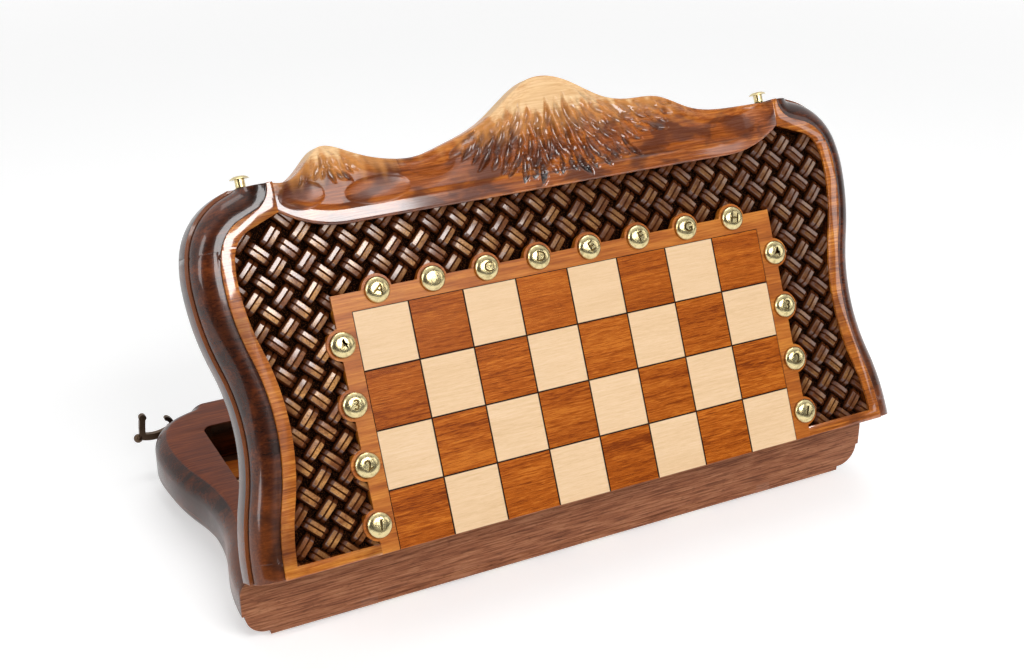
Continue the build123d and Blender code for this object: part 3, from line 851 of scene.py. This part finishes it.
def carve(x, y, strokes):
    """Depth pressed at every point by the strokes, in millimetres."""
    depth = np.zeros(x.shape)
    for (cx, cy), heading, length, width, deep in strokes:
        reached = (np.abs(x - cx) < length) & (np.abs(y - cy) < length)
        dx, dy = x[reached] - cx, y[reached] - cy
        along = (dx * math.sin(heading) - dy * math.cos(heading)) / length + 0.5
        bend = 0.35 * length * (along - 0.5) ** 2 * math.copysign(1, heading)
        across = (dx * math.cos(heading) + dy * math.sin(heading) - bend) / (0.5 * width)
        inside = (along > 0) & (along < 1)
        taper = np.where(inside, np.sin(math.pi * np.clip(along, 0, 1) ** 1.35), 0) ** 0.75
        cut = np.where(taper > 0.02, 1 - (across / np.maximum(taper, 0.02)) ** 2, 0)
        cut = np.clip(cut, 0, 1) * deep * taper
        depth[reached] = np.maximum(depth[reached], cut)
    return depth


def kept_strokes():
    """The strokes of both peaks that lie on the carved part of the rail."""
    rng = random.Random(11)
    under_tall = fan((8, 322), 69, 122, (-1.02, 1.05), length=21.0, width=6.0, depth=2.5, pace=8.4, rng=rng)
    under_small = fan((-152, 274), 25, 46, (-0.9, 1.25), length=11.0, width=3.4, depth=1.4, pace=4.8, rng=rng)
    kept = []
    for stroke in under_tall + under_small:
        cx, cy = stroke[0]
        clear = np.interp(cx, *skyline) - cy
        low_line = 216 + 0.0035 * (cx - 20) ** 2 if cx > -100 else 236 + 0.05 * abs(cx + 150)
        if clear > 4 and cy > low_line and abs(cx) < 178:
            kept.append(stroke)
    print("gouge strokes:", len(kept))
    return kept


def crest_carving(x, y, rise, below):
    """Depth of the strokes and lines alone, and of all the carving, from each point's place.

    rise is a point's height over the rail's foot, and below is how far it lies under the skyline.
    """
    depth = carve(x, y, kept_strokes())
    run = np.clip((x + 60) / 60, 0, 1) * np.clip((135 - x) / 40, 0, 1)
    for level, deep, half_width in BAND_LINES:
        wave = level + 0.8 * np.sin(x / 31.0)
        depth += run * deep * np.exp(-(((rise - wave) / half_width) ** 2))
    hollow_right = np.exp(-(((x - 138) / 26) ** 2) - ((below - 12) / 14) ** 2)
    hollow_left = np.exp(-(((x + 85) / 30) ** 2) - ((below - 8) / 10) ** 2)
    dishes = 0 * x
    for cx, cy, wide, tall, deep in DISHES:
        inside = 1 - ((x - cx) / wide) ** 2 - ((y - cy) / tall) ** 2
        dishes += deep * np.sqrt(np.clip(inside, 0, 1))
    leaning = LEAN * np.clip(rise - FOOT_BAND, 0, None) + 0.9 * np.clip((rise - FOOT_BAND) / 4, 0, 1)
    leaning *= np.clip((CREST_END - np.abs(x)) / 25, 0, 1)
    return depth, depth + 2.2 * hollow_right + 1.6 * hollow_left + dishes + leaning


# %% [markdown]
# The finish has to know where the gouge went, so the mesh keeps three values for it: how deep a point
# was cut, how bare the wood is, and the polished band along the foot. The strokes darken at the bottom with
# stain and painted shade, a painted shadow lies under the foot's rounded edge, and the peaks were never
# stained.

# %% The crest's finish
CREST_WOODS = (paint(88, 36, 6), paint(150, 74, 14), paint(196, 116, 38))
BARE_WOODS = (paint(206, 152, 96), paint(234, 196, 146))


def crest_finish():
    """Bare pale peaks, amber rail with clouded stain, and strokes dark at the bottom."""
    finish = Finish("crest")
    place = finish.place("lid")
    cut = finish.attribute("cut")
    bare = finish.attribute("bare")
    band = finish.attribute("band")
    bands, fibres, _ = grain(finish, place)
    cloud = finish.noise(finish.scaled(place, (0.6, 1.0, 1.0)), 0.055, 3.0, 0.55, 0.4)
    amber = finish.ramp(fibres * 0.55 + bands * 0.45, *zip((0.34, 0.5, 0.66), CREST_WOODS))
    amber = finish.mix(finish.step(cloud, 0.44, 0.6) * 0.8, amber, paint(78, 32, 10))
    light = finish.ramp(fibres * 0.7 + bands * 0.3, *zip((0.34, 0.6), BARE_WOODS))
    flank = finish.mix(finish.step(bare, 0.05, 0.6) * 0.8, amber, paint(206, 140, 74))
    colour = finish.mix(finish.step(bare + fibres * 0.3 - 0.15, 0.62, 0.86), flank, light)
    # Painted shade with stain: the strokes darken at the bottom of their cut, in patches, and more so low on
    # the rail.
    stain_and_shade_patches = finish.step(finish.noise(place, 0.16, 3.0, 0.6), 0.36, 0.6)
    _, y, z = finish.parts(place)
    low = 1 - finish.step(y + cloud * 20, 226, 276) * 0.75
    colour = finish.mix(finish.step(cut, 0.2, 1.0) * (stain_and_shade_patches * 0.7 + 0.2) * low, colour, paint(58, 24, 10))
    # Painted shadow: a dark line under the foot's rounded edge.
    foot_shadow = band * (1 - finish.step(z, -1.4, -0.7))
    colour = finish.mix(foot_shadow * 0.9, colour, INK_BROWN)
    finish.set(base_color=colour, roughness=fibres * 0.15 + 0.2 + finish.step(bare, 0.6, 0.9) * 0.25)
    finish.set(normal=finish.bump(fibres, 0.12, 0.0003), coat_roughness=0.08)
    finish.set(coat_weight=band * 0.85 + finish.step(cut, 0.3, 0.8) * 0.45 + 0.1)
    finish.set(coat_ior=1.7, specular_ior_level=0.2)
    return finish


# %% [markdown]
# The carved grid is the board's front. Its edge is extruded, pressed flat and carried to the back, and
# one face closes it there. The carving fades out at the foot and at the skyline, so both outlines stay
# where the frame has them.

# %% The crest, from grid to board
def crest_board():
    x, y, z = rail_section()
    rise = y - np.vectorize(rail_foot)(x)
    below = np.interp(x, *skyline) - y
    cut, depth = crest_carving(x, y, rise, below)
    fade = np.clip(rise / FOOT_ROUND, 0, 1) * np.clip(below / 3, 0, 1)
    z = z - depth * fade
    nothing_selected()
    bpy.ops.mesh.primitive_grid_add(x_subdivisions=COLUMNS - 1, y_subdivisions=len(x) - 1, size=2)
    board = bpy.context.object
    places = np.stack([x, y, z], axis=-1).reshape(-1, 3)
    board.data.vertices.foreach_set("co", places.ravel())
    above = y - np.where(x < -100, 250.5, 258.0)
    rough = 2.5 * np.sin(x / 2.3) + 1.8 * np.sin(x / 1.1 + 2)
    bare = np.clip(0.75 + (above + rough) / 30, 0, 1)
    band = 1 - np.clip((rise - FOOT_BAND + 0.5) / 2.5, 0, 1)
    for name, values in (("cut", np.clip(cut * fade / DEEP_CUT, 0, 1)), ("bare", bare), ("band", band)):
        layer = board.data.attributes.new(name, "FLOAT", "POINT")
        layer.data.foreach_set("value", values.ravel().astype(np.float32))
    only(board)
    bpy.ops.object.mode_set(mode="EDIT")
    bpy.ops.mesh.select_all(action="SELECT")
    bpy.ops.mesh.region_to_loop()
    bpy.ops.mesh.extrude_edges_move()
    bpy.ops.transform.resize(value=(1, 1, 0), center_override=(0, 0, 0))
    bpy.ops.transform.translate(value=(0, 0, CREST_BACK))
    bpy.ops.mesh.edge_face_add()
    outward()
    bpy.ops.object.shade_smooth_by_angle(angle=math.radians(50))
    return board


settle(crest_board(), "lid_carved_crest", "lid", crest_finish(), "lid_crest")

# %% [markdown]
# ## Engraved studs
# Each square's column or row has a domed brass stud, and its crown carries a coordinate. The stud is
# a cylinder whose top is drawn in and rounded ring by ring; the character is a text made solid, cut
# into the crown with a Boolean.

# %% Brass with dark engraving
def stud_finish(half):
    finish = Finish(f"engraved_brass_{half}")
    place = finish.place(half)
    _, _, z = finish.parts(place)
    cloud = finish.noise(place, 0.35, 4.0, 0.6)
    fine = finish.noise(place, 1.6, 3.0, 0.6)
    colour = finish.mix(finish.step(cloud, 0.45, 0.7) * 0.6, paint(212, 196, 148), paint(150, 128, 80))
    # Painted shade: darker brass round the foot of the stud, where it meets the frame.
    rim = 1 - finish.step(z, 0.2, 1.6)
    colour = finish.mix(rim * 0.7, colour, paint(104, 84, 48))
    finish.set(base_color=colour, metallic=1.0, roughness=cloud * 0.2 + 0.12)
    finish.set(normal=finish.bump(fine, 0.12, 0.0004))
    return finish


# %% [markdown]
# A Boolean can fail on a character, and then leaves the stud whole, empty, or with the letter standing
# up on it. So every stud is measured after the cut, and is cut again with a slightly smaller character
# until there really is a hollow in its crown.

# %% A blank stud, and a character cut into it
STUD_RADIUS, STUD_RISE, STUD_RIM, STUD_LAND = 0.225 * SQUARE, 4.6, 1.0, 2.34
DOME_STEPS, DOME_TURN = 7, 10.5
STUD_IN = BAND_OUTER - 1.4
SIGN_SIZE, SIGN_DEPTH, SIGN_WEIGHT = 9.5, 1.0, 0.14


def blank_stud():
    """A dome from its rim to a small flat crown, shaped by extruding the cap inward and up."""
    nothing_selected()
    bpy.ops.mesh.primitive_cylinder_add(vertices=40, radius=STUD_RADIUS, depth=STUD_RIM, end_fill_type="NGON")
    stud = bpy.context.object
    stud.data.transform(Matrix.Translation((0, 0, STUD_RIM / 2)))
    bpy.ops.object.mode_set(mode="EDIT")
    pick(stud, lambda co: co.z > STUD_RIM - 0.01)
    radius, height = STUD_RADIUS, STUD_RIM
    last_turn = math.radians(90 - DOME_TURN * DOME_STEPS)
    for step in range(1, DOME_STEPS + 1):
        turn = math.radians(90 - DOME_TURN * step)
        wide = STUD_LAND + (STUD_RADIUS - STUD_LAND) * math.sin(turn)
        tall = STUD_RIM + (STUD_RISE - STUD_RIM) * math.cos(turn) / math.cos(last_turn)
        bpy.ops.mesh.extrude_region_move(TRANSFORM_OT_translate={"value": (0, 0, tall - height)})
        bpy.ops.transform.resize(value=(wide / radius, wide / radius, 1), center_override=(0, 0, tall))
        radius, height = wide, tall
    bpy.ops.object.mode_set(mode="OBJECT")
    print("stud crown", round(2 * radius, 1), "mm wide,", round(height, 2), "mm high")
    return stud


def engraved(blank, sign, turn, size=SIGN_SIZE):
    """A copy of the blank with one character cut into its crown, its hollow in darker brass."""
    nothing_selected()
    bpy.ops.object.text_add()
    text = bpy.context.object
    text.data.body = sign
    text.data.align_x = "CENTER"
    text.data.align_y = "CENTER"
    text.data.size = size
    text.data.offset = SIGN_WEIGHT
    text.data.extrude = SIGN_DEPTH
    text.data.resolution_u = 3
    bpy.ops.object.convert(target="MESH")
    cutter = bpy.context.object
    cutter.data.transform(Matrix.Translation((0, 0, STUD_RISE + 0.1)))
    for finish in blank.data.materials:
        cutter.data.materials.append(finish)
    for face in cutter.data.polygons:
        face.material_index = 1
    stud = blank.copy()
    stud.data = blank.data.copy()
    bpy.context.collection.objects.link(stud)
    only(stud)
    cut = stud.modifiers.new("cut", "BOOLEAN")
    cut.object = cutter
    cut.operation = "DIFFERENCE"
    cut.solver = "EXACT"
    bpy.ops.object.modifier_apply(modifier=cut.name)
    bpy.data.objects.remove(cutter)
    top = max((v.co.z for v in stud.data.vertices), default=0.0)
    if len(stud.data.polygons) < len(blank.data.polygons) or top > STUD_RISE + 0.01:
        bpy.data.objects.remove(stud)
        return engraved(blank, sign, turn, size * 0.97)
    print("engraved", sign, "at", round(size, 2))
    stud.data.transform(Matrix.Rotation(turn, 4, "Z"))
    return stud


def stud_row(half):
    """Letters above the columns, numbers beside the rows."""
    blank = blank_stud()
    blank.data.materials.append(stud_finish(half).material)
    hollow = metal(f"engraving_{half}", paint(92, 74, 40), paint(54, 40, 22), 0.4)
    blank.data.materials.append(hollow.material)
    studs = []
    for i, letter in enumerate("ABCDEFGH"):
        studs.append((letter, ((i - 3.5) * SQUARE, STUD_IN)))
    for i in range(4):
        for side in (-1, 1):
            studs.append((str(4 - i if half == "lid" else 5 + i), (side * STUD_IN, (3.5 - i) * SQUARE)))
    made = []
    for number, (sign, (x, y)) in enumerate(studs):
        stud = engraved(blank, sign, math.radians((number * 37) % 50 - 25))
        stud.data.transform(Matrix.Translation((x, y, 0)))
        made.append(stud)
    bpy.data.objects.remove(blank)
    return joined(made)


for half in ("lid", "base"):
    studs = stud_row(half)
    only(studs)
    bpy.ops.object.shade_smooth_by_angle(angle=math.radians(35))
    settle(studs, f"{half}_engraved_studs", half, None, f"{half}_studs")

# %% [markdown]
# ## The stage
# The camera stands where the picture was taken from. Its place and its turn were worked out from the
# grid of squares, so the place is counted in squares from the point straight below the middle of the
# fold, level with the base's face, and the lens is given by its focal length in pixels.

# %% Camera
IMAGE = (1024, 670)
FOCAL_PIXELS = 1546.57
EYE = Vector((-12.11, -20.92, 15.99)) * SQUARE
VIEW_RIGHT = Vector((0.8900, -0.4560, 0.0008))
VIEW_UP = Vector((0.1978, 0.3876, 0.9004))
camera_data = bpy.data.cameras.new("camera")
camera_data.sensor_width = 36
camera_data.lens = FOCAL_PIXELS / IMAGE[0] * camera_data.sensor_width
camera = bpy.data.objects.new("camera", camera_data)
bpy.context.collection.objects.link(camera)
back = VIEW_RIGHT.cross(VIEW_UP)
turn = Matrix((VIEW_RIGHT, VIEW_UP, back)).transposed()
eye = (EYE + Vector((0, fold.y, STUD_HEIGHT))) * MM
camera.matrix_world = Matrix.Translation(eye) @ turn.to_4x4()
bpy.context.scene.camera = camera

# %% [markdown]
# The floor is pale paper. To the eye and in the varnish it glows a little, more so far away, so it
# stays white to the horizon while the box still throws its shadow. Four soft boxes light the box: the
# key in front and above, a weaker one at either side and one overhead. A fifth shares the key's place,
# and shows only as a stronger white shine on varnish and brass.

# %% Floor and lights
nothing_selected()
bpy.ops.mesh.primitive_plane_add(size=12, location=(0, 0, 0))
ground = bpy.context.object
ground.name = "floor"
paper = Finish("paper")
paper.set(base_color=(0.8, 0.8, 0.8), roughness=0.9, specular_ior_level=0.0)
rays = paper.node("ShaderNodeLightPath")
mirrored = Wire(paper, rays.socket.node.outputs["Is Glossy Ray"])
seen = paper.node("ShaderNodeMath", {"operation": "MAXIMUM"}, {0: rays, 1: mirrored})
east, north, _ = paper.parts(paper.node("ShaderNodeTexCoord", out=3))
away = paper.node("ShaderNodeMath", {"operation": "SQRT"}, {0: east * east + north * north})
white = paper.mix(paper.step(away, 0.8, 3.5), (0.42, 0.42, 0.42), (1.0, 1.0, 1.0))
glow = paper.node("ShaderNodeEmission", None, {"Color": white, "Strength": seen})
both = paper.node("ShaderNodeAddShader", None, {0: Wire(paper, paper.shader.outputs[0]), 1: glow})
paper.tree.links.new(both.socket, paper.tree.nodes["Material Output"].inputs["Surface"])
ground.data.materials.append(paper.material)


def soft_box(name, place, target, size, power):
    light = bpy.data.lights.new(name, "AREA")
    light.shape = "RECTANGLE"
    light.size, light.size_y = size
    light.energy = power
    holder = bpy.data.objects.new(name, light)
    bpy.context.collection.objects.link(holder)
    holder.location = place
    holder.rotation_euler = (Vector(target) - Vector(place)).to_track_quat("-Z", "Y").to_euler()
    return holder


LOOK = (0, 0, 0.15)
KEY = ((0.09, -1.55, 1.28), LOOK, (1.05, 0.62), 22)
soft_box("key_box", *KEY)
sheen = soft_box("key_sheen", *KEY)
sheen.visible_diffuse = False
soft_box("left_box", (-1.7, -0.25, 1.0), LOOK, (0.4, 1.2), 9)
soft_box("right_box", (1.5, -1.2, 0.9), LOOK, (0.7, 0.9), 4)
soft_box("top_box", (0.1, 0.6, 1.9), LOOK, (1.6, 0.8), 11)

# %% [markdown]
# The room is plain white to the eye. In the varnish it is white only behind the box and dark grey
# behind the camera, as in a real studio, and the light that it adds to the wood is weak.

# %% The room: white behind the box, grey behind the camera
ROOM_LIGHT = 0.26
world = bpy.data.worlds.new("studio")
bpy.context.scene.world = world
world.use_nodes = True


class Room(Finish):
    """The same calls as a finish, on the world's own nodes."""

    def __init__(self):
        self.tree = world.node_tree


room = Room()
rays = room.node("ShaderNodeLightPath")
glossy = Wire(room, rays.socket.node.outputs["Is Glossy Ray"])
through = Wire(room, rays.socket.node.outputs["Is Transmission Ray"])
direction = room.node("ShaderNodeTexCoord", out=0)
_, ahead, up = room.parts(direction)
behind = room.step(ahead + up * 0.35, -0.35, 0.25)
shown = rays + through + glossy * (behind * 0.92 + 0.08)
backdrop = world.node_tree.nodes["Background"]
room.feed(backdrop.inputs["Color"], (1.0, 1.0, 1.0))
room.feed(backdrop.inputs["Strength"], shown + (1 - rays - through - glossy) * ROOM_LIGHT)
bpy.context.scene.view_settings.view_transform = "Standard"
